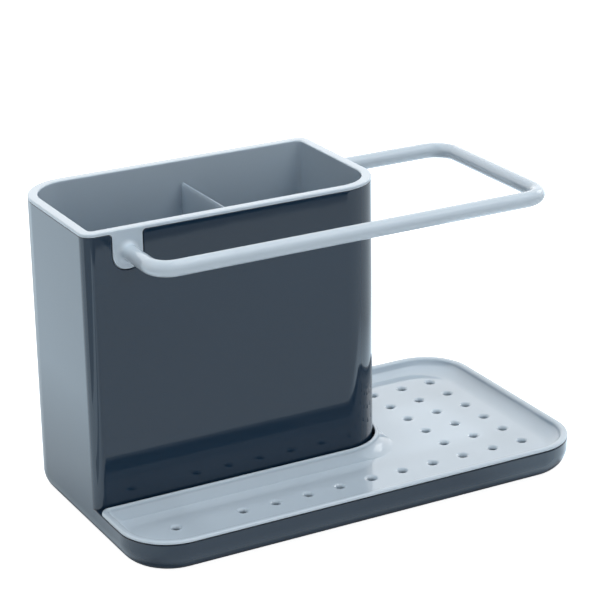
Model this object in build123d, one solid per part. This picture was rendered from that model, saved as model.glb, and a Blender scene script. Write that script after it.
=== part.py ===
from build123d import *
import math
import os

# Kitchen sink caddy: a dark base with a tall bin at its rear left, a pale liner
# hung in the bin with a cloth rail moulded onto it, a lift-out divider, and a
# pale L-shaped drip tray that lies over the water reservoir of the base.
# Millimetres. Origin: centre of the footprint, on the surface it stands on.
# X runs along the base, Y points to the rear, Z points up.

# Overall
LENGTH = 205.0
DEPTH = 115.0
HEIGHT = 129.5
CORNER = 21.5
OVERRUN = 2.0

# Feet
FOOT_DIAMETER = 14.0
FOOT_PROUD = 1.0
FOOT_SUNK = 0.9
FOOT_FIT = 0.15
FOOT_CHAMFER = 0.4
FOOT_INSET = 23.0

# Base pan
SEAM_HEIGHT = 14.4
BASE_WALL = 2.2
BASE_FLOOR = 2.4
BASE_ROUND = 9.5
REBATE_WALL = 1.5
REBATE_DEPTH = 2.0

# Bin
BIN_LENGTH = 134.0
BIN_DEPTH = 72.5
BIN_LARGE_CORNER = 20.0
BIN_SMALL_CORNER = 4.8
BIN_WALL = 2.2
BIN_DRAFT = 0.7

# Liner
RIM_HEIGHT = 1.4
RIM_ROUND = 0.6
LINER_WALL = 1.6
LINER_GAP = 0.3
LINER_DRAFT = 1.4
LINER_FLOOR = 1.8
LINER_DRAIN_GAP = 9.5
LINER_FOOT_ROUND = 5.0
LINER_HOLE = 4.0
LINER_HOLE_PITCH = 16.0
LINER_HOLE_MARGIN = 12.0

# Tabs that carry the rail, sunk in notches of the bin
TAB_WIDTH = 12.7
TAB_DROP = 16.3
TAB_CORNER = 6.0
TAB_FLARE = 1.6
TAB_FIT = 0.35
FRONT_TAB_INSET = 18.2

# Rail
RAIL_DIAMETER = 6.9
RAIL_DROP = 8.4
RAIL_REACH = 28.0
RAIL_SIDE_REACH = 55.3
REAR_BAR_INSET = 22.1
RAIL_FIRST_BEND = 12.0
RAIL_BEND = 10.0
RAIL_ROOT_FLARE = 2.2

# Divider and its guides
DIVIDER_THICK = 1.8
DIVIDER_PLACE = 73.5
DIVIDER_DROP = 9.0
DIVIDER_FIT = 0.35
DIVIDER_CORNER = 3.0
GUIDE_THICK = 1.4
GUIDE_PROUD = 2.2
GUIDE_DROP = 3.0

# Drip tray
TRAY_GAP = 1.0
TRAY_LIP = 1.75
TRAY_RIM = 2.8
TRAY_DISH = 5.2
TRAY_FLOOR = 2.0
TRAY_RUN = 1.4
TRAY_LEFT_COVE = 3.5
TRAY_RIGHT_COVE = 6.0
TRAY_TIP = 4.4
TRAY_FIT = 0.3
TRAY_EDGE_ROUND = 0.8

# Drain holes of the tray
HOLE = 2.8
HOLE_MOUTH = 4.4
HOLE_PITCH = 14.75
HOLE_SIDE_MARGIN = 18.6
HOLE_ROW_SHIFT = 0.9
HOLE_CLEAR = 17.0
BARE_PLACE = 10

# Least radius that a corner keeps when its outline shrinks, and least straight side beside it
LEAST_CORNER = 2.2
LEAST_SIDE = 1.0
# Steps of a cove, from its wall down to its floor
COVE_STEPS = 4

# A round or square block that stands on its base point
ON_BASE = (Align.CENTER, Align.CENTER, Align.MIN)

# Places that follow from the sizes above
LEFT = -LENGTH / 2
RIGHT = LENGTH / 2
FRONT = -DEPTH / 2
REAR = DEPTH / 2
BIN_RIGHT = LEFT + BIN_LENGTH
BIN_FRONT = REAR - BIN_DEPTH
BIN_TOP = HEIGHT - RIM_HEIGHT
PAN_FLOOR = FOOT_PROUD + BASE_FLOOR
LINER_BOTTOM = PAN_FLOOR + LINER_DRAIN_GAP
LINER_INSET = BIN_WALL + LINER_GAP
RIM_WIDTH = LINER_INSET + LINER_WALL
TRAY_TOP = SEAM_HEIGHT + TRAY_LIP
TRAY_WALL_RUN = TRAY_RIM + TRAY_RUN
# The large corners stay inside the narrow strip of tray before the bin
STRIP_DEPTH = DEPTH - BIN_DEPTH - TRAY_GAP
BASE_CORNER = min(CORNER, STRIP_DEPTH - TRAY_WALL_RUN - LEAST_CORNER - LEAST_SIDE)
TRAY_FLOOR_TOP = TRAY_TOP - TRAY_DISH
TRAY_BOTTOM = TRAY_FLOOR_TOP - TRAY_FLOOR
RAIL_HEIGHT = HEIGHT - RAIL_DROP
FRONT_TAB_X = LEFT + FRONT_TAB_INSET
SIDE_TAB_Y = REAR - REAR_BAR_INSET
DIVIDER_X = LEFT + DIVIDER_PLACE
DIVIDER_TOP = HEIGHT - DIVIDER_DROP


def rounded(points, radii, height):
    """A flat face at a height, with one radius for each corner point."""
    with BuildSketch(Plane.XY.offset(height)) as sketch:
        with BuildLine():
            FilletPolyline(*points, radius=radii, close=True)
        make_face()
    return sketch.sketch.face()


def shrunk(radius, inset):
    """The radius that an outer corner has once its outline is set inwards."""
    return max(radius - inset, LEAST_CORNER)


def base_face(inset, height):
    """The footprint of the base: a rectangle with four large corners."""
    left, right = LEFT + inset, RIGHT - inset
    front, rear = FRONT + inset, REAR - inset
    points = [(left, front), (right, front), (right, rear), (left, rear)]
    return rounded(points, [shrunk(BASE_CORNER, inset)] * len(points), height)


def bin_face(inset, height):
    """The leaf-shaped plan of the bin: large corners at front right and rear left."""
    left, right = LEFT + inset, BIN_RIGHT - inset
    front, rear = BIN_FRONT + inset, REAR - inset
    points = [(left, front), (right, front), (right, rear), (left, rear)]
    corners = [BIN_SMALL_CORNER, BIN_LARGE_CORNER, BIN_SMALL_CORNER, BASE_CORNER]
    return rounded(points, [shrunk(corner, inset) for corner in corners], height)


def tray_face(inset, bin_side, height, left_more=0.0, right_more=0.0):
    """The L-shaped plan round the bin, set in from the base and off the bin."""
    left, right = LEFT + inset + left_more, RIGHT - inset - right_more
    front, rear = FRONT + inset, REAR - inset
    inner_x, inner_y = BIN_RIGHT + bin_side, BIN_FRONT - bin_side
    points = [(left, front), (right, front), (right, rear)]
    points += [(inner_x, rear), (inner_x, inner_y), (left, inner_y)]
    corner = shrunk(BASE_CORNER, inset)
    tip = shrunk(TRAY_TIP, inset)
    radii = [corner, corner, corner, tip, BIN_LARGE_CORNER + bin_side, tip]
    return rounded(points, radii, height)


def stacked(faces):
    """A solid through a stack of like outlines, straight from one to the next."""
    return loft(faces, ruled=True)


def cove_shares():
    """Shares of the run and of the depth at each step of a quarter round."""
    turns = [math.pi / 2 * step / COVE_STEPS for step in range(COVE_STEPS + 1)]
    return [(1 - math.cos(turn), math.sin(turn)) for turn in turns]


def upright(face, top):
    """A face raised straight up to a height."""
    return extrude(face, top - face.center().Z, dir=(0, 0, 1))


def pan_pocket():
    """The reservoir under the tray: a rebate for the tray, and a foot rounded like the hull."""
    run = BASE_ROUND - BASE_WALL
    tops = SEAM_HEIGHT + OVERRUN, SEAM_HEIGHT - REBATE_DEPTH
    faces = [tray_face(REBATE_WALL, 0, height) for height in tops]
    for run_share, depth_share in cove_shares():
        faces.append(tray_face(BASE_WALL + run * run_share, 0, PAN_FLOOR + run * (1 - depth_share)))
    return stacked(faces)


def bin_pocket():
    """The inside of the bin, slightly narrower below, with a rounded foot."""
    run = BASE_ROUND - BASE_WALL
    foot = BIN_WALL + BIN_DRAFT
    faces = [bin_face(BIN_WALL, BIN_TOP + OVERRUN)]
    for run_share, depth_share in cove_shares():
        faces.append(bin_face(foot + run * run_share, PAN_FLOOR + run * (1 - depth_share)))
    return stacked(faces)


def tab_profile(plane, centre, fit):
    """The tongue that hangs from the rim: round below, flared where it meets the rim."""
    half = TAB_WIDTH / 2 + fit
    reach = half + TAB_FLARE + OVERRUN
    low = HEIGHT - TAB_DROP - fit
    top = HEIGHT - RIM_ROUND
    round_below = TAB_CORNER + fit
    points = [
        (centre - reach, BIN_TOP),
        (centre - half, BIN_TOP),
        (centre - half, low),
        (centre + half, low),
        (centre + half, BIN_TOP),
        (centre + reach, BIN_TOP),
    ]
    with BuildSketch(plane) as sketch:
        with BuildLine():
            side = FilletPolyline(*points, radius=[TAB_FLARE, round_below, round_below, TAB_FLARE])
            Polyline(side @ 1, (centre + reach, top), (centre - reach, top), side @ 0)
        make_face()
    return sketch.sketch


def front_tab_plane():
    """The outer face of the bin's front wall: sketch X to the right, sketch Y up."""
    return Plane(origin=(0, BIN_FRONT, 0), x_dir=(1, 0, 0), z_dir=(0, -1, 0))


def side_tab_plane():
    """The outer face of the bin's right wall: sketch X to the rear, sketch Y up."""
    return Plane(origin=(BIN_RIGHT, 0, 0), x_dir=(0, 1, 0), z_dir=(1, 0, 0))


def tabs(fit, thickness):
    """Both tongues, or with a fit both notches, sunk in from the outer faces."""
    front = extrude(tab_profile(front_tab_plane(), FRONT_TAB_X, fit), -thickness)
    side = extrude(tab_profile(side_tab_plane(), SIDE_TAB_Y, fit), -thickness)
    return front + side


def foot_places():
    """Where the four feet stand, by name."""
    across, along = RIGHT - FOOT_INSET, REAR - FOOT_INSET
    return {
        "foot_front_left": (-across, -along),
        "foot_front_right": (across, -along),
        "foot_rear_left": (-across, along),
        "foot_rear_right": (across, along),
    }


def make_body():
    """The dark moulding: rounded base pan, with the bin standing on its rear left."""
    hull = upright(base_face(0, FOOT_PROUD), SEAM_HEIGHT)
    hull = fillet(hull.edges().group_by(Axis.Z)[0], BASE_ROUND)
    bin_block = upright(bin_face(0, SEAM_HEIGHT - BASE_WALL), BIN_TOP)
    body = hull + bin_block - pan_pocket() - bin_pocket()
    body -= tabs(TAB_FIT, BIN_WALL + BIN_DRAFT)
    recess = Cylinder(FOOT_DIAMETER / 2 + FOOT_FIT, FOOT_SUNK, align=ON_BASE)
    for x, y in foot_places().values():
        body -= Pos(x, y, FOOT_PROUD) * recess
    return body


def make_foot(place):
    """A soft round pad, glued into a recess under the base."""
    x, y = place
    pad = Cylinder(FOOT_DIAMETER / 2, FOOT_PROUD + FOOT_SUNK, align=ON_BASE)
    pad = chamfer(pad.edges().group_by(Axis.Z)[0], FOOT_CHAMFER)
    return Pos(x, y, 0) * pad


def liner_inset(height):
    """How far the liner's outer wall is set in from the bin's outer face at a height."""
    share = (BIN_TOP - height) / (BIN_TOP - LINER_BOTTOM)
    return LINER_INSET + LINER_DRAFT * share


def liner_block():
    """The liner's outer form without its rim, drawn in towards a rounded foot."""
    block = stacked([bin_face(liner_inset(LINER_BOTTOM), LINER_BOTTOM), bin_face(LINER_INSET, BIN_TOP)])
    return fillet(block.edges().group_by(Axis.Z)[0], LINER_WALL)


def liner_pocket():
    """The inside of the liner, from its rounded foot to its mouth."""
    floor = LINER_BOTTOM + LINER_FLOOR
    run = LINER_FOOT_ROUND
    faces = [bin_face(RIM_WIDTH, HEIGHT + OVERRUN), bin_face(RIM_WIDTH, BIN_TOP)]
    for run_share, depth_share in cove_shares():
        height = floor + run * (1 - depth_share)
        faces.append(bin_face(liner_inset(height) + LINER_WALL + run * run_share, height))
    return stacked(faces)


def liner_rim(pocket):
    """The flat rim that lies on the bin's wall, flush outside, both its edges rounded."""
    rim = upright(bin_face(0, BIN_TOP), HEIGHT) - pocket
    return fillet(rim.edges().group_by(Axis.Z)[-1], RIM_ROUND)


def spread(low, high, pitch):
    """Evenly pitched places, centred between two limits."""
    count = int((high - low) / pitch) + 1
    start = (low + high - pitch * (count - 1)) / 2
    return [start + pitch * step for step in range(count)]


def liner_holes():
    """Drain holes through the liner's floor, in rows that leave the divider free."""
    edge = LINER_INSET + LINER_DRAFT + LINER_WALL + LINER_HOLE_MARGIN
    rows = spread(BIN_FRONT + edge, REAR - edge, LINER_HOLE_PITCH)
    clear = LINER_HOLE_MARGIN
    columns = spread(LEFT + edge, DIVIDER_X - clear, LINER_HOLE_PITCH)
    columns += spread(DIVIDER_X + clear, BIN_RIGHT - edge, LINER_HOLE_PITCH)
    drill = Cylinder(LINER_HOLE / 2, LINER_FLOOR + OVERRUN)
    return [Pos(x, y, LINER_BOTTOM + LINER_FLOOR / 2) * drill for x in columns for y in rows]


def divider_guides():
    """Two pairs of ribs, front and rear, that hold the divider upright."""
    slot = DIVIDER_THICK / 2 + DIVIDER_FIT
    top = DIVIDER_TOP - GUIDE_DROP
    bottom = LINER_BOTTOM + LINER_FLOOR / 2
    ribs = []
    reach = liner_inset(bottom) + LINER_WALL + GUIDE_PROUD
    rib = Box(GUIDE_THICK, reach, top - bottom, align=ON_BASE)
    for side in (-1, 1):
        x = DIVIDER_X + side * (slot + GUIDE_THICK / 2)
        ribs.append(Pos(x, BIN_FRONT + reach / 2, bottom) * rib)
        ribs.append(Pos(x, REAR - reach / 2, bottom) * rib)
    return ribs


def rail():
    """The cloth rail: one round rod from the front tab, round the corner, to the side tab."""
    bar_y, bar_x = BIN_FRONT - RAIL_REACH, BIN_RIGHT + RAIL_SIDE_REACH
    sunk = BIN_WALL / 2
    points = [
        (FRONT_TAB_X, BIN_FRONT + sunk, RAIL_HEIGHT),
        (FRONT_TAB_X, bar_y, RAIL_HEIGHT),
        (bar_x, bar_y, RAIL_HEIGHT),
        (bar_x, SIDE_TAB_Y, RAIL_HEIGHT),
        (BIN_RIGHT - sunk, SIDE_TAB_Y, RAIL_HEIGHT),
    ]
    path = FilletPolyline(*points, radius=[RAIL_FIRST_BEND, RAIL_BEND, RAIL_BEND])
    start = Plane(origin=path @ 0, z_dir=path % 0)
    return sweep(start * Circle(RAIL_DIAMETER / 2), path=path)


def root_flare():
    """The trumpet where the rod grows out of a tab, its axis along +Z."""
    radius, flare = RAIL_DIAMETER / 2, RAIL_ROOT_FLARE
    with BuildSketch(Plane.XZ) as sketch:
        with BuildLine():
            Polyline((radius, flare), (0, flare), (0, -LINER_GAP), (radius + flare, -LINER_GAP))
            Line((radius + flare, -LINER_GAP), (radius + flare, 0))
            RadiusArc((radius + flare, 0), (radius, flare), flare)
        make_face()
    return revolve(sketch.sketch, Axis.Z)


def make_liner():
    """The pale liner with its rim, tabs, rail, divider guides and drain holes."""
    pocket = liner_pocket()
    block = liner_block()
    liner = block + tabs(0, LINER_INSET + LINER_WALL / 2) - pocket + liner_rim(pocket)
    for rib in divider_guides():
        liner += rib & (block + pocket)
    for hole in liner_holes():
        liner -= hole
    front = Plane(origin=(FRONT_TAB_X, BIN_FRONT, RAIL_HEIGHT), z_dir=(0, -1, 0))
    side = Plane(origin=(BIN_RIGHT, SIDE_TAB_Y, RAIL_HEIGHT), z_dir=(1, 0, 0))
    liner += rail() + front * root_flare() + side * root_flare()
    return liner


def make_divider():
    """A flat plate as wide as the liner inside, less its fit, narrower below."""
    bottom = LINER_BOTTOM + LINER_FLOOR + DIVIDER_FIT
    low = liner_inset(bottom) + LINER_WALL + DIVIDER_FIT
    high = liner_inset(DIVIDER_TOP) + LINER_WALL + DIVIDER_FIT
    points = [
        (BIN_FRONT + low, bottom),
        (REAR - low, bottom),
        (REAR - high, DIVIDER_TOP),
        (BIN_FRONT + high, DIVIDER_TOP),
    ]
    radii = [LINER_FOOT_ROUND, LINER_FOOT_ROUND, DIVIDER_CORNER, DIVIDER_CORNER]
    with BuildSketch(Plane(origin=(DIVIDER_X, 0, 0), x_dir=(0, 1, 0), z_dir=(1, 0, 0))) as sketch:
        with BuildLine():
            FilletPolyline(*points, radius=radii, close=True)
        make_face()
    return extrude(sketch.sketch, DIVIDER_THICK / 2, both=True)


def tray_dish():
    """The hollow of the tray: straight steep walls, with a cove at the left and right ends."""
    faces = [tray_face(TRAY_RIM, TRAY_GAP + TRAY_RIM, TRAY_TOP + OVERRUN)]
    for run_share, depth_share in cove_shares():
        inset = TRAY_RIM + TRAY_RUN * depth_share
        height = TRAY_TOP - TRAY_DISH * depth_share
        coves = TRAY_LEFT_COVE * run_share, TRAY_RIGHT_COVE * run_share
        faces.append(tray_face(inset, TRAY_GAP + inset, height, *coves))
    return stacked(faces)


def tray_basin():
    """The underside of the tray: a skirt in the pan's rebate, then drawn in to the floor."""
    skirt, foot = REBATE_WALL + TRAY_FIT, BASE_WALL + TRAY_RUN
    return stacked([
        tray_face(foot, TRAY_GAP + foot, TRAY_BOTTOM, TRAY_LEFT_COVE, TRAY_RIGHT_COVE),
        tray_face(skirt, TRAY_GAP + skirt, SEAM_HEIGHT - REBATE_DEPTH),
        tray_face(skirt, TRAY_GAP + skirt, SEAM_HEIGHT + TRAY_LIP / 2),
    ])


def hole_places():
    """The grid of drain holes: a block at the right, and its front row along the strip."""
    first_x = RIGHT - HOLE_SIDE_MARGIN
    first_y = (FRONT + BIN_FRONT - TRAY_GAP) / 2 + HOLE_ROW_SHIFT
    columns = int((first_x - BIN_RIGHT - HOLE_CLEAR) / HOLE_PITCH) + 1
    rows = int((REAR - HOLE_CLEAR - first_y) / HOLE_PITCH) + 1
    strip = int((first_x - LEFT - HOLE_CLEAR) / HOLE_PITCH) + 1
    places = [(column, row) for row in range(1, rows) for column in range(columns)]
    places += [(column, 0) for column in range(strip) if column != BARE_PLACE]
    return [(first_x - column * HOLE_PITCH, first_y + row * HOLE_PITCH) for column, row in places]


def drain_drill():
    """A round hole with a countersunk mouth, its top on the tray's floor."""
    inner, mouth = HOLE / 2, HOLE_MOUTH / 2
    low, flare = -TRAY_FLOOR - OVERRUN, mouth - inner
    points = [(0, OVERRUN), (0, low), (inner, low), (inner, -flare), (mouth, 0), (mouth, OVERRUN)]
    with BuildSketch(Plane.XZ) as sketch:
        with BuildLine():
            Polyline(*points, close=True)
        make_face()
    return revolve(sketch.sketch, Axis.Z)


def make_drip_tray():
    """The pale tray: a flush lip on the pan's edge, a dished floor and its drain holes."""
    dish = tray_dish()
    lip = upright(tray_face(0, TRAY_GAP, SEAM_HEIGHT), TRAY_TOP) - dish
    lip = fillet(lip.edges().group_by(Axis.Z)[-1], TRAY_EDGE_ROUND)
    tray = lip + (tray_basin() - dish)
    drill = drain_drill()
    for x, y in hole_places():
        tray -= Pos(x, y, TRAY_FLOOR_TOP) * drill
    return tray


def main():
    os.makedirs("parts", exist_ok=True)
    parts = {
        "body": make_body(),
        "liner": make_liner(),
        "divider": make_divider(),
        "drip_tray": make_drip_tray(),
    }
    for name, place in foot_places().items():
        parts[name] = make_foot(place)
    for name, shape in parts.items():
        export_step(shape, f"parts/{name}.step")
        print(name, len(shape.solids()), round(shape.volume), shape.is_valid)


main()
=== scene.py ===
import math

import bmesh
import bpy
from mathutils import Matrix, Vector
from mathutils.geometry import delaunay_2d_cdt


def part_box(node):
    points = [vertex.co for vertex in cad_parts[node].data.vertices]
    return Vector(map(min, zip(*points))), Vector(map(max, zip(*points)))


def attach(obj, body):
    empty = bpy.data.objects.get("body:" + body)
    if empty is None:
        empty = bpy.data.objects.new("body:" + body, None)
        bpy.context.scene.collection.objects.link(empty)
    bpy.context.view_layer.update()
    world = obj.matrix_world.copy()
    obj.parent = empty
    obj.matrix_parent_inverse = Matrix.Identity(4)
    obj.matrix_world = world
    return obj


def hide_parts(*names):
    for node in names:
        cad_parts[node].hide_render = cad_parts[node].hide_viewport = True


# Kitchen sink caddy, dressed: each moulding is modelled again over its solid, with soft edges.
# Metres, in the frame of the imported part: X along the base, Y to the rear, Z up.

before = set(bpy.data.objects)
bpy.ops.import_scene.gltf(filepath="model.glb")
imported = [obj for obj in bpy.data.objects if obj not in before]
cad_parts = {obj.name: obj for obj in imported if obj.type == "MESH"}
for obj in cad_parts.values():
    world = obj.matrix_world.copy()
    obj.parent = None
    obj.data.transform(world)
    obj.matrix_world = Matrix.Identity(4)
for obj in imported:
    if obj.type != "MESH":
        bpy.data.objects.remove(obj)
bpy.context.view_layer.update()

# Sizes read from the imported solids
body_low, body_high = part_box("body")
liner_low, liner_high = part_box("liner")
tray_low, tray_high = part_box("drip_tray")
divider_low, divider_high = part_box("divider")
LEFT, RIGHT = body_low.x, body_high.x
FRONT, REAR = body_low.y, body_high.y
BASE_LOW, BIN_TOP = body_low.z, body_high.z
LINER_BOTTOM, TOP = liner_low.z, liner_high.z
TRAY_BOTTOM, TRAY_TOP = tray_low.z, tray_high.z
DIVIDER_X = (divider_low.x + divider_high.x) / 2
DIVIDER_TOP = divider_high.z
FEET = sorted(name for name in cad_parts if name.startswith("foot_"))

# Base pan: outline corner, height of the seam, lower round, walls, rebate for the tray, feet
CORNER = 0.0215
SEAM = 0.0144
BASE_ROUND = 0.0095
BASE_WALL = 0.0022
PAN_FLOOR = 0.0034
REBATE_WALL = 0.0015
REBATE_DEPTH = 0.002
FOOT_SUNK = 0.0009
FOOT_FIT = 0.00015

# Bin: its right and front faces, corners, and a wall that is drafted inside
BIN_RIGHT = 0.0315
BIN_FRONT = -0.015
BIN_LARGE_CORNER = 0.02
BIN_SMALL_CORNER = 0.0048
BIN_WALL = 0.0022
BIN_DRAFT = 0.0007

# Liner: rim, gap to the bin, drafted walls, floor with drain holes, and the divider's guides
RIM_ROUND = 0.0006
LINER_GAP = 0.0003
LINER_WALL = 0.0016
LINER_DRAFT = 0.0014
LINER_FLOOR = 0.0018
LINER_FOOT_ROUND = 0.005
LINER_HOLE = 0.004
LINER_HOLE_PITCH = 0.016
LINER_HOLE_MARGIN = 0.012
GUIDE_THICK = 0.0014
GUIDE_PROUD = 0.0022
GUIDE_DROP = 0.024
GUIDE_LEAD = 0.006
GUIDE_LEAD_SHARE = 0.8

# Divider: its play, its corners, and how far its faces thin out towards its rim
DIVIDER_FIT = 0.00035
DIVIDER_CORNER = 0.003
DIVIDER_LEAST_CORNER = 0.0008
DIVIDER_ROUND = 0.93
DIVIDER_TAPER = 0.006

# Tabs and rail. The rail's bars lie back and out from the solid's box, as in the photograph.
TAB_WIDTH = 0.0127
TAB_DROP = 0.0163
TAB_CORNER = 0.006
TAB_FLARE = 0.0016
TAB_FIT = 0.00035
FRONT_TAB_X = -0.0843
SIDE_TAB_Y = 0.0375
RAIL_DIAMETER = 0.0065
RAIL_DROP = 0.0093
RAIL_BACK = 0.0021
RAIL_OUT = 0.003
RAIL_FIRST_BEND = 0.008
RAIL_BEND = 0.01
RAIL_ROOT_FLARE = 0.0022

# Drip tray: gap to the bin, rim, dish, coves, lip, and holes counted from the front right
TRAY_GAP = 0.001
TRAY_RIM = 0.0028
TRAY_DISH = 0.0052
TRAY_RUN = 0.0014
TRAY_LEFT_COVE = 0.0035
TRAY_RIGHT_COVE = 0.007
TRAY_REAR_RAMP = 0.0034
RAMP_FROM = 0.45
RAMP_CURVE = 1.3
TRAY_TIP = 0.0044
TRAY_FIT = 0.0003
LIP_SLIT = 0.0004
BIN_LIP_SHARE = 0.55
LIP_OUTER_RUN = 0.001
LIP_OUTER_FALL = 0.0008
LIP_INNER_RUN = 0.0014
LIP_INNER_FALL = 0.0013
BIN_FOOT_TIGHTER = 0.012
HOLE = 0.0031
HOLE_MOUTH = 0.006
HOLE_PITCH = 0.01475
HOLE_RIGHT_X = 0.0839
HOLE_FRONT_Y = -0.03585
HOLE_COLUMNS = 3
HOLE_ROWS = 6
STRIP_HOLES = 12
BARE_PLACE = 10

# Soft edges, the least round of a set-in corner, and the finest sizes that are kept apart
EDGE = 0.0003
LEAST_CORNER = 0.0022
WELD = 0.000002
FLAT_WELD = 0.000001
NO_LENGTH = 0.0000002
CREASE = math.radians(38)

# Steps of each kind of curve
ARC_STEPS = 20
TAB_STEPS = 10
EDGE_STEPS = 4
COVE_STEPS = 14
LIP_STEPS = 7
RING_STEPS = 40
HOLE_STEPS = 28
MOUTH_STEPS = 8

# Tones of each plastic: plain, clouded, and at its edges
DARK_TONES = ((0.0062, 0.0225, 0.047), (0.0055, 0.0205, 0.044), (0.04, 0.065, 0.1))
PALE_TONES = ((0.5, 0.595, 0.68), (0.48, 0.575, 0.66), (0.56, 0.65, 0.72))
# The divider's plain and clouded tones are the pale plastic's; its darker edge tone is painted
# shade on its crest and rim.
DIVIDER_SHADED_TONES = ((0.5, 0.595, 0.68), (0.48, 0.575, 0.66), (0.42, 0.51, 0.59))
RUBBER_TONES = ((0.03, 0.032, 0.035), (0.02, 0.022, 0.025), (0.06, 0.06, 0.06))

# Roughness of each where clean and where handled, and the depth of its flow waves
DARK_ROUGHNESS = (0.02, 0.045)
PALE_ROUGHNESS = (0.03, 0.07)
RUBBER_ROUGHNESS = (0.6, 0.8)
PLASTIC_WAVE = 0.00002
RUBBER_WAVE = 0.00001

# Surface noises as scale and detail, and the ranges that they are read in
CLOUD_NOISE = (14, 3)
CLOUD_READ = (0.3, 0.7)
SMEAR_NOISE = (45, 6)
SMEAR_READ = (0.3, 0.75)
POINTED_READ = (0.53, 0.62)
# Share of the edge tone at sharp edges; on the divider it is painted shade.
EDGE_TONE_SHARE = (0, 0.5)
WAVE_NOISE = (55, 1)
WAVE_STRENGTH = 1.0
GRAIN_NOISE = (2600, 2)
GRAIN_STRENGTH = 0.5
GRAIN_DEPTH = 0.000004

# How light enters the plastics, and the pale one more than the others
PLASTIC_IOR = 1.5
PALE_SUBSURFACE = 0.15
PALE_RADIUS = (1.0, 1.1, 1.2)
PALE_SCALE = 0.0012

# Studio floor: its colour, its colours in gloss where bare and where painted dark, and its glow
# when seen
FLOOR_SIZE = 12.0
FLOOR_CELLS = 8
FLOOR_COLOUR = (0.72, 0.72, 0.72)
MIRRORED_COLOUR = (0.77, 0.83, 0.87)
PAINTED_DARK_COLOUR = (0.22, 0.25, 0.3)
FLOOR_GLOW = 0.92
WHITE = (1, 1, 1)
MIRRORED_TINT = (0.68, 0.88, 1.04)

# Glow of the floor in gloss, and the places in X or Y over which each extra glow grows or ends
MIRROR_GLOW = 0.41
LEFT_GLOW = 1.0
LEFT_FROM = (-0.1, -0.16)
RIGHT_GLOW = 1.1
RIGHT_FROM = (0.055, 0.1)
RIGHT_TO = (0.13, 0.2)
RIGHT_REAR_OF = (-0.1, -0.085)
REAR_GLOW = 1.6
REAR_FROM = (0.16, 0.36)
# Painted shade: the floor's glow in gloss fades out over this run round the part's footprint.
SHADE_RUN = (-0.004, 0.003)

# Painted reflections: where the floor is painted dark in gloss, past a line at its front and on two
# patches at its front left, and what both leave lit
GLOSS_DARK_FROM_Y = -0.343
GLOSS_DARK_LIT = 0.33
# Two dark patches painted on the floor and seen only in gloss: a painted reflection at the bin's
# front left corner.
PAINTED_PATCH_X = -0.24
PAINTED_PATCH_Y = -0.03
PAINTED_STRIP_X = -0.165
PAINTED_STRIP_HALF = 0.012
PAINTED_PATCH_LIT = 0.45

# World: its strength as fill, when seen, and in gloss from the front round to the rear
WORLD_FILL = 0.05
WORLD_SEEN = 1.0
WORLD_MIRRORED = (0.6, 1.95)
WORLD_TURN = (-0.5, 0.2)

# Lamps: place, width, power, and whether gloss shows them
LAMPS = {
    "top": ((0.0, 0.0, 3.0), 1.0, 56.0, False),
    "top right": ((1.0, -1.0, 2.4), 1.6, 14.0, True),
    "front": ((0.0, -1.3, 0.35), 0.8, 5.6, False),
    "right": ((1.05, 0.25, 0.6), 0.4, 1.2, True),
    "left": ((-1.2, 0.0, 0.35), 0.8, 1.6, False),
    "left top": ((-1.2, 0.1, 1.1), 0.8, 1.8, False),
}
LAMP_TARGET = Vector((0.0, 0.0, 0.05))

# The camera of the photograph
CAMERA_AZIMUTH = math.radians(-28.37)
CAMERA_ELEVATION = math.radians(20.72)
CAMERA_ROLL = math.radians(-0.92)
CAMERA_DISTANCE = 0.92221
CAMERA_TARGET = Vector((0.00055, 0.00522, 0.07734))
CAMERA_LENS = 134.46
CAMERA_SENSOR = 36.0

# Places that follow
LINER_INSET = BIN_WALL + LINER_GAP
RIM_WIDTH = LINER_INSET + LINER_WALL
LINER_FLOOR_TOP = LINER_BOTTOM + LINER_FLOOR
RAIL_HEIGHT = TOP - RAIL_DROP
RAIL_RADIUS = RAIL_DIAMETER / 2
TRAY_FLOOR_TOP = TRAY_TOP - TRAY_DISH
LIP_END = TRAY_RIM + TRAY_RUN * LIP_INNER_FALL / TRAY_DISH
BASE_COVE = BASE_ROUND - BASE_WALL
BASE_BLEND = BIN_SMALL_CORNER / 3


def corner_arc(before, corner, after, radius, steps=ARC_STEPS):
    """Points round a corner of a path, each with its heading."""
    to_before = (before - corner).normalized()
    to_after = (after - corner).normalized()
    half = to_before.angle(to_after) / 2
    centre = corner + (to_before + to_after).normalized() * (radius / math.sin(half))
    start = corner + to_before * (radius / math.tan(half)) - centre
    end = corner + to_after * (radius / math.tan(half)) - centre
    sweep = math.pi - 2 * half
    found = []
    for step in range(steps + 1):
        share = step / steps
        ahead, behind = sweep * share, sweep * (1 - share)
        spot = centre + (start * math.sin(behind) + end * math.sin(ahead)) / math.sin(sweep)
        heading = (end * math.cos(ahead) - start * math.cos(behind)).normalized()
        found.append((spot, heading))
    return found


def corners(points, radii, steps=ARC_STEPS):
    """The rounded corners of a closed outline, each as a list of points."""
    points = [Vector(point) for point in points]
    found = []
    for index, corner in enumerate(points):
        before, after = points[index - 1], points[(index + 1) % len(points)]
        found.append([spot for spot, _ in corner_arc(before, corner, after, radii[index], steps)])
    return found


def joined(lists):
    """Several lists of points as one."""
    return [point for part in lists for point in part]


def at(points, height):
    """Flat points lifted to a height."""
    return [Vector((point.x, point.y, height)) for point in points]


def shrunk(radius, inset):
    """The radius that an outer corner has once its outline is set inwards."""
    return max(radius - inset, LEAST_CORNER)


def quarter(steps):
    """Shares along and across a quarter round: the first grows late, the second early."""
    turns = [math.pi / 2 * step / steps for step in range(steps + 1)]
    return [(1 - math.cos(turn), math.sin(turn)) for turn in turns]


def full_turn(steps):
    """Angles evenly spaced round a circle."""
    return [2 * math.pi * step / steps for step in range(steps)]


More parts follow.
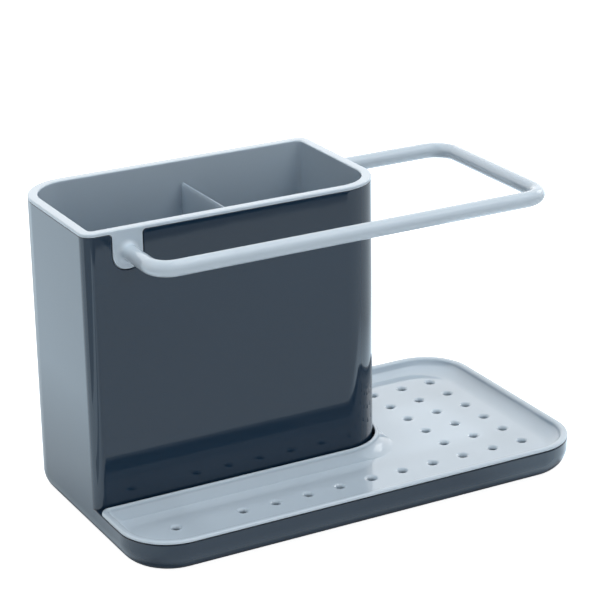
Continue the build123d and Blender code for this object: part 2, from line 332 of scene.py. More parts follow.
def ring(centre, radius):
    """Points of a flat circle."""
    turns = full_turn(HOLE_STEPS)
    return [centre + Vector((math.cos(turn), math.sin(turn))) * radius for turn in turns]


def turns_left(loop):
    """Whether a flat loop runs anticlockwise."""
    return sum(before.cross(after) for before, after in zip(loop, loop[1:] + loop[:1])) > 0


def base_corners(inset):
    """Corners of the base: front left, front right, rear right, rear left."""
    left, right, front, rear = LEFT + inset, RIGHT - inset, FRONT + inset, REAR - inset
    points = [(left, front), (right, front), (right, rear), (left, rear)]
    return corners(points, [shrunk(CORNER, inset)] * len(points))


def bin_corners(inset):
    """Corners of the bin: small front left, large front right, small rear right, rear left."""
    left, right, front, rear = LEFT + inset, BIN_RIGHT - inset, BIN_FRONT + inset, REAR - inset
    points = [(left, front), (right, front), (right, rear), (left, rear)]
    radii = [BIN_SMALL_CORNER, BIN_LARGE_CORNER, BIN_SMALL_CORNER, CORNER]
    return corners(points, [shrunk(radius, inset) for radius in radii])


def tray_corners(inset, bin_side, tip, left_more=0.0, right_more=0.0, rear_more=0.0, tighter=0.0):
    """Corners of the L round the bin: three large ones, a tip, the inner round and a tip.

    Each end may be set in by more, and the inner round may be tighter.
    """
    left, right = LEFT + inset + left_more, RIGHT - inset - right_more
    front, rear = FRONT + inset, REAR - inset - rear_more
    inner_x, inner_y = BIN_RIGHT + bin_side, BIN_FRONT - bin_side
    points = [(left, front), (right, front), (right, rear)]
    points += [(inner_x, rear), (inner_x, inner_y), (left, inner_y)]
    large, small = shrunk(CORNER, inset), shrunk(tip, inset)
    inner = BIN_LARGE_CORNER + bin_side - tighter
    return corners(points, [large, large, large, small, inner, small])


class Shell:
    """The patches of one moulding. Points that coincide are welded at the end."""

    def __init__(self):
        self.mesh = bmesh.new()

    def face(self, points):
        """One face through points in space."""
        self.mesh.faces.new([self.mesh.verts.new(point) for point in points])

    def band(self, first, second, closed=True):
        """Quads between two rows of matching points."""
        count = len(first) if closed else len(first) - 1
        for index in range(count):
            after = (index + 1) % len(first)
            self.face([first[index], first[after], second[after], second[index]])

    def bands(self, rows):
        """Quads through a stack of closed rows."""
        for first, second in zip(rows, rows[1:]):
            self.band(first, second)

    def fill(self, outer, holes, lift):
        """A flat patch with holes. lift takes a flat point into space."""
        points, loops = [], []
        for loop in [outer, *holes]:
            order = list(range(len(points), len(points) + len(loop)))
            loop = [Vector(point) for point in loop]
            if turns_left(loop) == bool(loops):
                order.reverse()
            points += loop
            loops.append(order)
        inside_with_holes = 2
        found = delaunay_2d_cdt(points, [], loops, inside_with_holes, FLAT_WELD)
        spots, _, triangles = found[:3]
        for triangle in triangles:
            self.face([lift(spots[index]) for index in triangle])

    def floor(self, outer, holes, height):
        """A level patch with holes."""
        self.fill(outer, holes, lambda point: Vector((point.x, point.y, height)))

    def pierce(self, centres, profile):
        """The walls of round holes that stand upright, from rows of radius and height."""
        for centre in centres:
            self.bands([at(ring(centre, radius), height) for radius, height in profile])

    def piece(self, name, material, slot, body, *nodes):
        """The finished object, which rides on its body and stands for its solids."""
        bmesh.ops.remove_doubles(self.mesh, verts=self.mesh.verts, dist=WELD)
        bmesh.ops.dissolve_degenerate(self.mesh, edges=self.mesh.edges, dist=NO_LENGTH)
        bmesh.ops.recalc_face_normals(self.mesh, faces=self.mesh.faces)
        mesh = bpy.data.meshes.new(name)
        self.mesh.to_mesh(mesh)
        self.mesh.free()
        mesh.shade_smooth()
        mesh.set_sharp_from_angle(angle=CREASE)
        piece = bpy.data.objects.new(name, mesh)
        bpy.context.scene.collection.objects.link(piece)
        weights = piece.modifiers.new("even shading", "WEIGHTED_NORMAL")
        weights.keep_sharp = True
        mesh.materials.append(material)
        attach(piece, body)
        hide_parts(*nodes)
        return piece


def no_depth(height):
    """The bin's outer face itself."""
    return 0.0


def bin_wall(height):
    """How thick the bin's wall is at a height: it is drafted, and thicker below."""
    return BIN_WALL + BIN_DRAFT * (BIN_TOP - height) / (BIN_TOP - PAN_FLOOR)


def liner_inset(height):
    """How far the liner's outer wall is set in from the bin's outer face at a height."""
    return LINER_INSET + LINER_DRAFT * (BIN_TOP - height) / (BIN_TOP - LINER_BOTTOM)


def tab_curve(centre, fit, flare, level):
    """The outline of a tab from one end to the other: places along the wall, and heights."""
    half, low, foot = TAB_WIDTH / 2 + fit, TOP - TAB_DROP - fit, TAB_CORNER + fit
    left, right = centre - half, centre + half
    points = [(left - flare, level), (left, level), (left, low)]
    points += [(right, low), (right, level), (right + flare, level)]
    points = [Vector(point) for point in points]
    curve = []
    for index, radius in enumerate([flare, foot, foot, flare]):
        arc = corner_arc(*points[index:index + 3], radius, TAB_STEPS)
        curve += [spot for spot, _ in arc]
    return curve


def on_front(depth):
    """Lifts a flat point onto the front wall, set in by a depth."""
    return lambda point: Vector((point.x, BIN_FRONT + depth(point.y), point.y))


def on_side(depth):
    """Lifts a flat point onto the right wall, set in by a depth."""
    return lambda point: Vector((BIN_RIGHT - depth(point.y), point.x, point.y))


def brim(fit, flare, level, depth):
    """A closed row round the bin at a level, which dips round both tabs."""
    front_left, front_right, rear_right, rear_left = bin_corners(depth(level))
    row = at(front_left, level)
    row += map(on_front(depth), tab_curve(FRONT_TAB_X, fit, flare, level))
    row += at(front_right, level)
    row += map(on_side(depth), tab_curve(SIDE_TAB_Y, fit, flare, level))
    return row + at(rear_right, level) + at(rear_left, level)


def clad(shell, edge_level, fit, flare, level, depth, front_holes=(), side_holes=()):
    """The wall between a level edge and the brim row at another level."""
    edge, far = bin_corners(depth(edge_level)), bin_corners(depth(level))
    for near_corner, far_corner in zip(edge, far):
        shell.band(at(near_corner, edge_level), at(far_corner, level), closed=False)
    for start, end in ((2, 3), (3, 0)):
        near = at([edge[start][-1], edge[end][0]], edge_level)
        shell.face(near + at([far[end][0], far[start][-1]], level))
    curve = tab_curve(FRONT_TAB_X, fit, flare, level)
    outer = [(edge[0][-1].x, edge_level), (edge[1][0].x, edge_level), (far[1][0].x, level)]
    outer += [*reversed(curve), (far[0][-1].x, level)]
    shell.fill(outer, front_holes, on_front(depth))
    curve = tab_curve(SIDE_TAB_Y, fit, flare, level)
    outer = [(edge[1][-1].y, edge_level), (edge[2][0].y, edge_level), (far[2][0].y, level)]
    outer += [*reversed(curve), (far[1][-1].y, level)]
    shell.fill(outer, side_holes, on_side(depth))


def base_runs(inset):
    """The base's outline in three runs: left of the bin's corner, round the pan, behind the bin."""
    leave_left, leave_rear = BIN_FRONT + BIN_SMALL_CORNER, BIN_RIGHT - BIN_SMALL_CORNER
    front_left, front_right, rear_right, rear_left = base_corners(inset)
    left, rear = LEFT + inset, REAR - inset
    beside = [Vector((left, leave_left - BASE_BLEND))]
    pan = [Vector((left, BIN_FRONT)), *front_left, *front_right, *rear_right]
    pan.append(Vector((BIN_RIGHT, rear)))
    behind = [Vector((leave_rear + BASE_BLEND, rear)), Vector((leave_rear, rear)), *rear_left]
    behind.append(Vector((left, leave_left)))
    return beside, pan, behind


def base_path(inset):
    """The base's whole outline."""
    return joined(base_runs(inset))


def soft_runs(inset):
    """The same three runs, of which only the one round the pan is set in."""
    beside, _, behind = base_runs(0.0)
    _, pan, _ = base_runs(inset)
    return beside, pan, behind


def add_hull(shell):
    """The outside of the base, its soft upper edge along the pan, and its underside."""
    rows = []
    for late, early in quarter(COVE_STEPS):
        rows.append(at(base_path(BASE_ROUND * (1 - early)), BASE_LOW + BASE_ROUND * late))
    for late, early in quarter(EDGE_STEPS):
        beside, pan, behind = soft_runs(EDGE * late)
        rows.append(at(beside, SEAM) + at(pan, SEAM - EDGE * (1 - early)) + at(behind, SEAM))
    shell.bands(rows)
    recesses = []
    for name in FEET:
        low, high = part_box(name)
        centre, radius = ((low + high) / 2).to_2d(), (high.x - low.x) / 2 + FOOT_FIT
        recesses.append(ring(centre, radius))
    shell.floor(base_path(BASE_ROUND), recesses, BASE_LOW)
    for recess in recesses:
        shell.band(at(recess, BASE_LOW), at(recess, BASE_LOW + FOOT_SUNK))
        shell.floor(recess, [], BASE_LOW + FOOT_SUNK)


def add_ledge(shell):
    """The level top of the pan's wall, which ends in a point at each side of the bin."""
    beside, pan, behind = soft_runs(EDGE)
    front_left, front_right, rear_right, tip_rear, _, tip_left = pocket_corners(REBATE_WALL)
    small_front, _, small_rear, _ = bin_corners(0)
    path = [behind[-1], *beside, *pan, *behind[:2], *small_rear[-2::-1]]
    for corner in (tip_rear[:-1], rear_right, front_right, front_left, tip_left):
        path += reversed(corner)
    shell.floor(path + small_front[-2:0:-1], [], SEAM)


def pocket_corners(inset):
    """Corners of the pan's pocket, whose tips end where the bin's small corners begin."""
    return tray_corners(inset, 0.0, BIN_SMALL_CORNER)


def add_pan(shell):
    """The reservoir under the tray: a rebate for the tray, coved walls and a level floor."""
    rebate = joined(pocket_corners(REBATE_WALL))
    rows = [at(rebate, SEAM), at(rebate, SEAM - REBATE_DEPTH)]
    for late, early in quarter(COVE_STEPS):
        outline = joined(pocket_corners(BASE_WALL + BASE_COVE * late))
        rows.append(at(outline, PAN_FLOOR + BASE_COVE * (1 - early)))
    shell.bands(rows)
    shell.floor(joined(pocket_corners(BASE_ROUND)), [], PAN_FLOOR)


def notched_row(down, depth):
    """A row round the bin's top, so far down its soft edge, which dips round both notches."""
    return brim(TAB_FIT + down, TAB_FLARE - down, BIN_TOP - down, depth)


def add_bin(shell):
    """The bin's walls with both notches, its coved foot and its floor."""
    below_edge = TAB_FIT + EDGE, TAB_FLARE - EDGE, BIN_TOP - EDGE
    clad(shell, SEAM, *below_edge, no_depth)
    rows = []
    for late, early in quarter(EDGE_STEPS):
        depth = EDGE * late
        rows.append(notched_row(EDGE * (1 - early), lambda _: depth))
    for late, early in quarter(EDGE_STEPS):
        back = EDGE * (1 - early)
        rows.append(notched_row(EDGE * late, lambda height: bin_wall(height) - back))
    shell.bands(rows)
    cove_top = PAN_FLOOR + BASE_COVE
    clad(shell, cove_top, *below_edge, bin_wall)
    rows = []
    for late, early in quarter(COVE_STEPS):
        outline = joined(bin_corners(bin_wall(cove_top) + BASE_COVE * late))
        rows.append(at(outline, PAN_FLOOR + BASE_COVE * (1 - early)))
    shell.bands(rows)
    shell.floor(outline, [], PAN_FLOOR)


def make_body(material):
    """The dark moulding: base pan and bin in one."""
    shell = Shell()
    add_hull(shell)
    add_ledge(shell)
    add_pan(shell)
    add_bin(shell)
    return shell.piece("body_moulding", material, "dark_plastic", "base", "body")


def rail_ring(spot, heading, radius):
    """A ring round the rail where it passes a spot with a heading."""
    side, up = Vector((heading.y, -heading.x, 0)), Vector((0, 0, 1))
    centre = Vector((spot.x, spot.y, RAIL_HEIGHT))
    turns = full_turn(RING_STEPS)
    return [centre + (side * math.cos(turn) + up * math.sin(turn)) * radius for turn in turns]


def rail_root(spot, heading, way):
    """Rings of the trumpet at a tab, which the rail leaves with way 1 and reaches with way -1."""
    rings = []
    for late, early in quarter(COVE_STEPS):
        place = spot + heading * (way * RAIL_ROOT_FLARE * late)
        rings.append(rail_ring(place, heading, RAIL_RADIUS + RAIL_ROOT_FLARE * (1 - early)))
    return rings[::way]


def rail_rings():
    """Rings along the rail: a trumpet at each tab, three bends, and straight bars between."""
    bar_y = liner_low.y + RAIL_RADIUS + RAIL_BACK
    bar_x = liner_high.x - RAIL_RADIUS + RAIL_OUT
    start, end = Vector((FRONT_TAB_X, BIN_FRONT)), Vector((BIN_RIGHT, SIDE_TAB_Y))
    turns = [Vector(spot) for spot in ((FRONT_TAB_X, bar_y), (bar_x, bar_y), (bar_x, SIDE_TAB_Y))]
    path = [start, *turns, end]
    rings = rail_root(start, Vector((0, -1)), 1)
    for index, bend in enumerate([RAIL_FIRST_BEND, RAIL_BEND, RAIL_BEND]):
        arc = corner_arc(*path[index:index + 3], bend)
        rings += [rail_ring(spot, heading, RAIL_RADIUS) for spot, heading in arc]
    return rings + rail_root(end, Vector((-1, 0)), -1)


def spread(low, high, pitch):
    """Evenly pitched places, centred between two limits."""
    count = int((high - low) / pitch) + 1
    start = (low + high - pitch * (count - 1)) / 2
    return [start + pitch * step for step in range(count)]


def liner_hole_places():
    """Drain holes of the liner's floor, in rows that leave the divider free."""
    edge = LINER_INSET + LINER_DRAFT + LINER_WALL + LINER_HOLE_MARGIN
    rows = spread(BIN_FRONT + edge, REAR - edge, LINER_HOLE_PITCH)
    columns = spread(LEFT + edge, DIVIDER_X - LINER_HOLE_MARGIN, LINER_HOLE_PITCH)
    columns += spread(DIVIDER_X + LINER_HOLE_MARGIN, BIN_RIGHT - edge, LINER_HOLE_PITCH)
    return [Vector((x, y)) for x in columns for y in rows]


def add_rim(shell, roots):
    """The flat rim with soft edges, and the faces of both tabs with the rail's roots."""
    rows = []
    for late, early in quarter(EDGE_STEPS):
        rows.append(at(joined(bin_corners(RIM_ROUND * late)), TOP - RIM_ROUND * (1 - early)))
    for late, early in quarter(EDGE_STEPS):
        inset = RIM_WIDTH - RIM_ROUND * (1 - early)
        rows.append(at(joined(bin_corners(inset)), TOP - RIM_ROUND * late))
    shell.bands(rows)
    front_root = [Vector((point.x, point.z)) for point in roots[0]]
    side_root = [Vector((point.y, point.z)) for point in roots[1]]
    round_tabs = -EDGE, TAB_FLARE + EDGE, BIN_TOP + EDGE
    clad(shell, TOP - RIM_ROUND, *round_tabs, no_depth, [front_root], [side_root])
    rows = []
    for late, early in quarter(EDGE_STEPS):
        up, depth = EDGE * (1 - early), EDGE * late
        rows.append(brim(-up, TAB_FLARE + up, BIN_TOP + up, lambda _: depth))
    rows.append(brim(0.0, TAB_FLARE, BIN_TOP, liner_inset))
    shell.bands(rows)


def add_liner_walls(shell):
    """The liner's drafted walls outside and inside, its coved foot and its pierced floor."""
    foot = LINER_BOTTOM + LINER_WALL
    clad(shell, foot, 0.0, TAB_FLARE, BIN_TOP, liner_inset)
    rows = []
    for late, early in quarter(EDGE_STEPS):
        inset = liner_inset(foot) + LINER_WALL * late
        rows.append(at(joined(bin_corners(inset)), LINER_BOTTOM + LINER_WALL * (1 - early)))
    shell.bands(rows)
    places = liner_hole_places()
    radius = LINER_HOLE / 2
    shell.floor(joined(bin_corners(inset)), [ring(place, radius) for place in places], LINER_BOTTOM)
    rows = [at(joined(bin_corners(RIM_WIDTH)), height) for height in (TOP - RIM_ROUND, BIN_TOP)]
    for late, early in quarter(COVE_STEPS):
        height = LINER_FLOOR_TOP + LINER_FOOT_ROUND * (1 - early)
        inset = liner_inset(height) + LINER_WALL + LINER_FOOT_ROUND * late
        rows.append(at(joined(bin_corners(inset)), height))
    shell.bands(rows)
    mouth = radius + EDGE
    mouths = [ring(place, mouth) for place in places]
    shell.floor(joined(bin_corners(inset)), mouths, LINER_FLOOR_TOP)
    profile = [(radius, LINER_BOTTOM)]
    for late, early in quarter(EDGE_STEPS):
        profile.append((mouth - EDGE * (1 - late), LINER_FLOOR_TOP - EDGE * (1 - early)))
    shell.pierce(places, profile)


def add_guide(shell, x, wall_y, inwards):
    """One upright rib on the liner's wall, sunk in wall and floor, with a lead-in at its top."""
    foot, top = LINER_BOTTOM + LINER_FLOOR / 2, DIVIDER_TOP - GUIDE_DROP
    half = GUIDE_THICK / 2
    lead = GUIDE_PROUD * GUIDE_LEAD_SHARE - EDGE
    profile = [(0, 0, foot), (0, 0, top - GUIDE_LEAD)]
    profile += [(0, lead, top - EDGE), (EDGE, lead + EDGE, top)]
    rows = []
    for inset, back, height in profile:
        wall = wall_y + inwards * (liner_inset(height) + LINER_WALL / 2)
        free = wall_y + inwards * (liner_inset(height) + LINER_WALL + GUIDE_PROUD - back)
        side = half - inset
        points = [(x - side, wall), (x + side, wall), (x + side, free), (x - side, free)]
        rows.append(at(joined(corners(points, [EDGE] * len(points), EDGE_STEPS)), height))
    shell.bands(rows)
    for row, height in ((rows[0], foot), (rows[-1], top)):
        shell.floor([point.to_2d() for point in row], [], height)


def make_liner(material):
    """The pale liner: rim, tabs, rail, walls, floor and the divider's guides."""
    shell = Shell()
    rings = rail_rings()
    shell.bands(rings)
    add_rim(shell, (rings[0], rings[-1]))
    add_liner_walls(shell)
    slot = (divider_high.x - divider_low.x) / 2 + DIVIDER_FIT + GUIDE_THICK / 2
    for x in (DIVIDER_X - slot, DIVIDER_X + slot):
        add_guide(shell, x, BIN_FRONT, 1)
        add_guide(shell, x, REAR, -1)
    return shell.piece("liner_moulding", material, "pale_plastic", "liner", "liner")


def divider_outline(inset):
    """The divider's outline as places in Y and Z, tapered with the liner's draft and set in."""
    low, high = divider_low, divider_high
    taper = liner_inset(low.z) - liner_inset(high.z)
    points = [(low.y + taper + inset, low.z + inset), (high.y - taper - inset, low.z + inset)]
    points += [(high.y - inset, high.z - inset), (low.y + inset, high.z - inset)]
    radii = [LINER_FOOT_ROUND, LINER_FOOT_ROUND, DIVIDER_CORNER, DIVIDER_CORNER]
    return joined(corners(points, [max(radius - inset, DIVIDER_LEAST_CORNER) for radius in radii]))


def make_divider(material):
    """The flat plate between the guides, which thins out towards its rim."""
    shell = Shell()
    half = (divider_high.x - divider_low.x) / 2
    round_edge = half * DIVIDER_ROUND
    turns = quarter(EDGE_STEPS)
    rows = []
    for side, part in ((-1, turns), (1, reversed(turns))):
        for late, early in part:
            x = DIVIDER_X + side * (half - round_edge * late)
            outline = divider_outline(DIVIDER_TAPER * (1 - early))
            rows.append([Vector((x, point.x, point.y)) for point in outline])
    shell.bands(rows)
    for row in (rows[0], rows[-1]):
        x, flat = row[0].x, [(point.y, point.z) for point in row]
        shell.fill(flat, [], lambda point: Vector((x, point.x, point.y)))
    return shell.piece("divider_plate", material, "pale_plastic", "divider", "divider")


def tray_hole_places():
    """The grid of drain holes: a block at the right, and its front row along the strip."""
    places = [(column, row) for row in range(1, HOLE_ROWS) for column in range(HOLE_COLUMNS)]
    places += [(column, 0) for column in range(STRIP_HOLES) if column != BARE_PLACE]
    corner = Vector((HOLE_RIGHT_X, HOLE_FRONT_Y))
    return [corner + Vector((-column, row)) * HOLE_PITCH for column, row in places]


def tray_row(inset, height, *more, bin_inset=None):
    """A closed row round the tray, set in alike from the base and from the bin unless told."""
    beside_bin = inset if bin_inset is None else bin_inset
    outline = tray_corners(inset, TRAY_GAP + beside_bin, TRAY_TIP, *more)
    return at(joined(outline), height)


def skirt_rows():
    """Rows of the tray's underside: in from its floor, out to the skirt and up to the lip."""
    skirt, foot = REBATE_WALL + TRAY_FIT, BASE_WALL + TRAY_RUN
    coves = TRAY_LEFT_COVE, TRAY_RIGHT_COVE
    rows = [tray_row(foot + EDGE, TRAY_BOTTOM, *coves), tray_row(foot, TRAY_BOTTOM + EDGE, *coves)]
    return rows + [tray_row(skirt, SEAM - REBATE_DEPTH), tray_row(skirt, SEAM + LIP_SLIT)]


def lip_rows():
    """Rows of the tray's lip: round its lower edge, over its top and down to the dish."""
    rows = []
    for late, early in quarter(EDGE_STEPS):
        rows.append(tray_row(EDGE * (1 - early), SEAM + LIP_SLIT + EDGE * late))
    for late, early in quarter(LIP_STEPS):
        inset, height = LIP_OUTER_RUN * late, TRAY_TOP - LIP_OUTER_FALL * (1 - early)
        rows.append(tray_row(inset, height, bin_inset=inset * BIN_LIP_SHARE))
    for late, early in quarter(LIP_STEPS):
        inset, height = LIP_END - LIP_INNER_RUN * (1 - early), TRAY_TOP - LIP_INNER_FALL * late
        rows.append(tray_row(inset, height, bin_inset=inset * BIN_LIP_SHARE))
    return rows


def dish_rows():
    """Rows of the dish's walls, with broader coves at three ends and round the bin's corner."""
    foot, bin_lip = TRAY_RIM + TRAY_RUN, LIP_END * BIN_LIP_SHARE
    fall = TRAY_DISH - LIP_INNER_FALL
    rows = []
    for late, early in quarter(COVE_STEPS)[1:]:
        ramp = max(0.0, (early - RAMP_FROM) / (1 - RAMP_FROM)) ** RAMP_CURVE
        ends = TRAY_LEFT_COVE * late, TRAY_RIGHT_COVE * late, TRAY_REAR_RAMP * ramp
        inset = LIP_END + (foot - LIP_END) * early
        bin_inset = bin_lip + (foot - bin_lip) * early
        height = TRAY_TOP - LIP_INNER_FALL - fall * early
        rows.append(tray_row(inset, height, *ends, BIN_FOOT_TIGHTER * late, bin_inset=bin_inset))
    return rows


def make_tray(material):
    """The pale L-shaped tray: rounded lip, dished floor and drain holes with soft mouths."""
    shell = Shell()
    rows = skirt_rows() + lip_rows() + dish_rows()
    shell.bands(rows)
    places = tray_hole_places()
    radius, mouth = HOLE / 2, HOLE_MOUTH / 2
    floors = ((rows[0], radius, TRAY_BOTTOM), (rows[-1], mouth, TRAY_FLOOR_TOP))
    for row, wide, height in floors:
        holes = [ring(place, wide) for place in places]
        shell.floor([point.to_2d() for point in row], holes, height)
    soft = mouth - radius
    profile = [(radius, TRAY_BOTTOM)]
    for late, early in quarter(MOUTH_STEPS):
        profile.append((radius + soft * late, TRAY_FLOOR_TOP - soft * (1 - early)))
    shell.pierce(places, profile)
    return shell.piece("tray_moulding", material, "pale_plastic", "tray", "drip_tray")


def make_foot(name, material):
    """A round rubber pad with a soft lower edge."""
    low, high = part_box(name)
    centre, radius = ((low + high) / 2).to_2d(), (high.x - low.x) / 2
    shell = Shell()
    profile = []
    for late, early in quarter(EDGE_STEPS):
        profile.append((radius - EDGE * (1 - early), low.z + EDGE * late))
    profile.append((radius, high.z))
    shell.pierce([centre], profile)
    for wide, height in (profile[0], profile[-1]):
        shell.floor(ring(centre, wide), [], height)
    return shell.piece(name.replace("foot", "foot_pad"), material, "foot_rubber", "base", name)


class Wiring:
    """The nodes of one material or world, with a short call for each kind in use."""

    def __init__(self, owner):
        owner.use_nodes = True
        self.nodes, self.links = owner.node_tree.nodes, owner.node_tree.links

    def output(self, kind, name):
        """One output of a new node."""
        return self.nodes.new(kind).outputs[name]

    def feed(self, socket, value):
        """Gives an input the value of another socket, or a plain value."""
        if isinstance(value, bpy.types.NodeSocket):
            self.links.new(value, socket)
        else:
            socket.default_value = value

    def math(self, operation, first, second):
        """One step of arithmetic on two sockets or numbers."""
        step = self.nodes.new("ShaderNodeMath")
        step.operation = operation
        self.feed(step.inputs[0], first)
        self.feed(step.inputs[1], second)
        return step.outputs[0]

    def ranged(self, value, read, wanted=(0, 1)):
        """A value mapped from the range that it is read in to the one that is wanted."""
        mapping = self.nodes.new("ShaderNodeMapRange")
        names = ("From Min", "From Max", "To Min", "To Max")
        for name, number in zip(names, (*read, *wanted)):
            mapping.inputs[name].default_value = number
        self.links.new(value, mapping.inputs["Value"])
        return mapping.outputs["Result"]

    def blended(self, share, first, second):
        """Two colours mixed by a share. The first may be a socket."""
        mix = self.nodes.new("ShaderNodeMix")
        mix.data_type = "RGBA"
        self.links.new(share, mix.inputs["Factor"])
        colours = {socket.name: socket for socket in mix.inputs if socket.type == "RGBA"}
        plain = not isinstance(first, bpy.types.NodeSocket)
        self.feed(colours["A"], (*first, 1) if plain else first)
        self.feed(colours["B"], (*second, 1))
        return next(socket for socket in mix.outputs if socket.type == "RGBA")

    def noise(self, place, scale, detail):
        """A noise texture in the part's own metres."""
        texture = self.nodes.new("ShaderNodeTexNoise")
        texture.inputs["Scale"].default_value = scale
        texture.inputs["Detail"].default_value = detail
        self.links.new(place, texture.inputs["Vector"])
        return texture.outputs["Fac"]

    def bumped(self, height, strength, distance, before=None):
        """A bump from a height, on top of an earlier one."""
        bump = self.nodes.new("ShaderNodeBump")
        bump.inputs["Strength"].default_value = strength
        bump.inputs["Distance"].default_value = distance
        self.links.new(height, bump.inputs["Height"])
        if before:
            self.links.new(before, bump.inputs["Normal"])
        return bump.outputs["Normal"]

    def rays(self):
        """1 for rays from the camera, and 1 for rays that show the studio in gloss or glass."""
        kinds = self.nodes.new("ShaderNodeLightPath").outputs
        mirrored = self.math("MAXIMUM", kinds["Is Glossy Ray"], kinds["Is Transmission Ray"])
        return kinds["Is Camera Ray"], mirrored


def plastic(name, tones, roughness, wave):
    """Moulded plastic: faint cloudiness, handled gloss, flow waves and a set tone at sharp edges,
    which on the divider is painted shade.
    """
    material = bpy.data.materials.new(name)
    wiring = Wiring(material)
    shader = wiring.nodes["Principled BSDF"].inputs
    place = wiring.output("ShaderNodeTexCoord", "Object")
    plain, clouded, edge = tones
    cloud = wiring.ranged(wiring.noise(place, *CLOUD_NOISE), CLOUD_READ)
    pointed = wiring.output("ShaderNodeNewGeometry", "Pointiness")
    # Sharp edges take the edge tone: lighter on the dark, pale and rubber plastics, and darker on
    # the divider, as painted shade.
    edge_tone = wiring.ranged(pointed, POINTED_READ, EDGE_TONE_SHARE)
    tone = wiring.blended(edge_tone, wiring.blended(cloud, plain, clouded), edge)
    smear = wiring.ranged(wiring.noise(place, *SMEAR_NOISE), SMEAR_READ, roughness)
    normal = wiring.bumped(wiring.noise(place, *WAVE_NOISE), WAVE_STRENGTH, wave)
    grain = wiring.noise(place, *GRAIN_NOISE)
    wiring.feed(shader["Base Color"], tone)
    wiring.feed(shader["Roughness"], smear)
    wiring.feed(shader["Normal"], wiring.bumped(grain, GRAIN_STRENGTH, GRAIN_DEPTH, normal))
    shader["IOR"].default_value = PLASTIC_IOR
    return material


def pale_plastic(name, tones):
    """Glossy pale blue grey, slightly translucent."""
    material = plastic(name, tones, PALE_ROUGHNESS, PLASTIC_WAVE)
    shader = material.node_tree.nodes["Principled BSDF"].inputs
    shader["Subsurface Weight"].default_value = PALE_SUBSURFACE
    shader["Subsurface Radius"].default_value = PALE_RADIUS
    shader["Subsurface Scale"].default_value = PALE_SCALE
    return material


def off_painted_patches(wiring, x, y):
    """1 on the floor, and less on two dark patches painted at its front left, which draw its corner
    as a painted reflection in gloss.
    """
    beside = wiring.math("GREATER_THAN", x, PAINTED_PATCH_X)
    away = wiring.math("ABSOLUTE", wiring.math("SUBTRACT", x, PAINTED_STRIP_X), 0.0)
    off_strip = wiring.math("GREATER_THAN", away, PAINTED_STRIP_HALF)
    clear = wiring.math("MINIMUM", beside, off_strip)
    behind = wiring.math("GREATER_THAN", y, PAINTED_PATCH_Y)
    return wiring.math("MAXIMUM", wiring.math("MAXIMUM", clear, PAINTED_PATCH_LIT), behind)


def clear_of_painted_shade(wiring, x, y):
    """0 under the part, growing to 1 a little way out from its footprint: painted shade on the
    floor's glow in gloss.
    """
    beyond = []
    for place, half in ((x, RIGHT), (y, REAR)):
        beyond.append(wiring.math("SUBTRACT", wiring.math("ABSOLUTE", place, 0.0), half))
    return wiring.ranged(wiring.math("MAXIMUM", *beyond), SHADE_RUN)


def zone_glow(wiring, x, y):
    """The floor's glow in gloss: more far to the left, close to the right and far behind."""
    left = wiring.ranged(x, LEFT_FROM, (0, LEFT_GLOW))
    close = wiring.ranged(x, RIGHT_TO, (RIGHT_GLOW, 0))
    close = wiring.math("MULTIPLY", close, wiring.ranged(y, RIGHT_REAR_OF))
    right = wiring.math("ADD", close, wiring.ranged(y, REAR_FROM, (0, REAR_GLOW)))
    right = wiring.math("MULTIPLY", right, wiring.ranged(x, RIGHT_FROM))
    return wiring.math("ADD", wiring.math("ADD", left, MIRROR_GLOW), right)


def floor_material():
    """White to the camera, lit in zones in gloss, painted dark in gloss at its far front and front
    left as painted reflections, with painted shade in gloss round the part, and plain under the
    object's shadow.
    """
    material = bpy.data.materials.new("studio floor")
    wiring = Wiring(material)
    shader = wiring.nodes["Principled BSDF"].inputs
    shader["Roughness"].default_value = 1.0
    shader["Specular IOR Level"].default_value = 0.0
    seen, mirrored = wiring.rays()
    place = wiring.nodes.new("ShaderNodeSeparateXYZ")
    wiring.feed(place.inputs[0], wiring.output("ShaderNodeTexCoord", "Object"))
    x, y = place.outputs["X"], place.outputs["Y"]
    # In gloss only, the floor is painted dark beyond its front line and on the two patches: painted
    # reflections in the bin's walls.
    near = wiring.math("MAXIMUM", wiring.math("GREATER_THAN", y, GLOSS_DARK_FROM_Y), GLOSS_DARK_LIT)
    near = wiring.math("MINIMUM", near, off_painted_patches(wiring, x, y))
    painted_dark = wiring.math("MAXIMUM", wiring.math("SUBTRACT", mirrored, near), 0.0)
    bare = wiring.blended(mirrored, FLOOR_COLOUR, MIRRORED_COLOUR)
    wiring.feed(shader["Base Color"], wiring.blended(painted_dark, bare, PAINTED_DARK_COLOUR))
    glow = zone_glow(wiring, x, y)
    for share in (near, clear_of_painted_shade(wiring, x, y), mirrored):
        glow = wiring.math("MULTIPLY", glow, share)
    shown = wiring.math("MULTIPLY", seen, FLOOR_GLOW)
    wiring.feed(shader["Emission Strength"], wiring.math("ADD", glow, shown))
    wiring.feed(shader["Emission Color"], wiring.blended(mirrored, WHITE, MIRRORED_TINT))
    return material


def make_floor():
    """The studio floor."""
    grid = bmesh.new()
    half = FLOOR_SIZE / 2
    bmesh.ops.create_grid(grid, x_segments=FLOOR_CELLS, y_segments=FLOOR_CELLS, size=half)
    mesh = bpy.data.meshes.new("studio_floor")
    grid.to_mesh(mesh)
    grid.free()
    mesh.materials.append(floor_material())
    floor = bpy.data.objects.new("studio_floor", mesh)
    bpy.context.scene.collection.objects.link(floor)


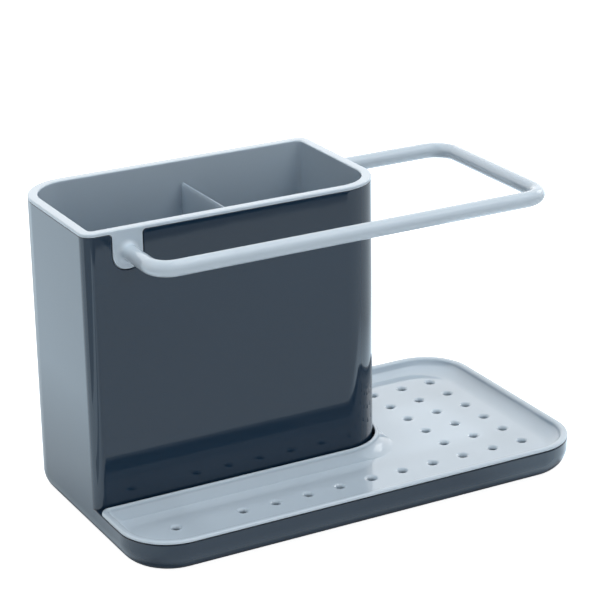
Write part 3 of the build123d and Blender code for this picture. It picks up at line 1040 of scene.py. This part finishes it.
def make_world():
    """White surroundings, dimmer in gloss towards the front, with a faint fill elsewhere."""
    world = bpy.data.worlds.new("studio")
    bpy.context.scene.world = world
    wiring = Wiring(world)
    background = wiring.nodes["Background"].inputs
    background["Color"].default_value = (*WHITE, 1)
    seen, mirrored = wiring.rays()
    shown = wiring.ranged(seen, (0, 1), (WORLD_FILL, WORLD_SEEN))
    heading = wiring.nodes.new("ShaderNodeSeparateXYZ")
    wiring.feed(heading.inputs[0], wiring.output("ShaderNodeTexCoord", "Generated"))
    rearwards = wiring.ranged(heading.outputs["Y"], WORLD_TURN, WORLD_MIRRORED)
    reflected = wiring.math("MULTIPLY", mirrored, rearwards)
    wiring.feed(background["Strength"], wiring.math("MAXIMUM", shown, reflected))


def soft_box(name, place, width, power, shows):
    """A square area lamp that looks at the object, and may show in gloss."""
    lamp = bpy.data.lights.new(name, "AREA")
    lamp.shape = "SQUARE"
    lamp.size = width
    lamp.energy = power
    holder = bpy.data.objects.new(name, lamp)
    bpy.context.scene.collection.objects.link(holder)
    holder.location = place
    holder.visible_glossy = shows
    holder.rotation_mode = "QUATERNION"
    holder.rotation_quaternion = (LAMP_TARGET - Vector(place)).to_track_quat("-Z", "Y")


def make_camera():
    """The camera at the photograph's place, lens and slight roll."""
    level, rise = math.cos(CAMERA_ELEVATION), math.sin(CAMERA_ELEVATION)
    back = Vector((math.sin(CAMERA_AZIMUTH) * level, -math.cos(CAMERA_AZIMUTH) * level, rise))
    right = (-back).cross(Vector((0, 0, 1))).normalized()
    up = right.cross(-back)
    turn, lean = math.cos(CAMERA_ROLL), math.sin(CAMERA_ROLL)
    right, up = right * turn + up * lean, up * turn - right * lean
    data = bpy.data.cameras.new("camera")
    data.lens = CAMERA_LENS
    data.sensor_width = CAMERA_SENSOR
    camera = bpy.data.objects.new("camera", data)
    bpy.context.scene.collection.objects.link(camera)
    place = CAMERA_TARGET + back * CAMERA_DISTANCE
    rows = [(right[i], up[i], back[i], place[i]) for i in range(3)]
    camera.matrix_world = Matrix([*rows, (0, 0, 0, 1)])
    bpy.context.scene.camera = camera


def main():
    """Dresses the part and sets up the studio."""
    bpy.context.scene.view_settings.view_transform = "Standard"
    dark = plastic("dark plastic", DARK_TONES, DARK_ROUGHNESS, PLASTIC_WAVE)
    rubber = plastic("foot rubber", RUBBER_TONES, RUBBER_ROUGHNESS, RUBBER_WAVE)
    pale = pale_plastic("pale plastic", PALE_TONES)
    make_body(dark)
    make_liner(pale)
    # The divider's copy of the pale plastic is darker at its edges: painted shade.
    make_divider(pale_plastic("pale plastic, shaded divider edges", DIVIDER_SHADED_TONES))
    make_tray(pale)
    for name in FEET:
        make_foot(name, rubber)
    make_floor()
    make_world()
    for name, lamp in LAMPS.items():
        soft_box(name, *lamp)
    make_camera()


main()
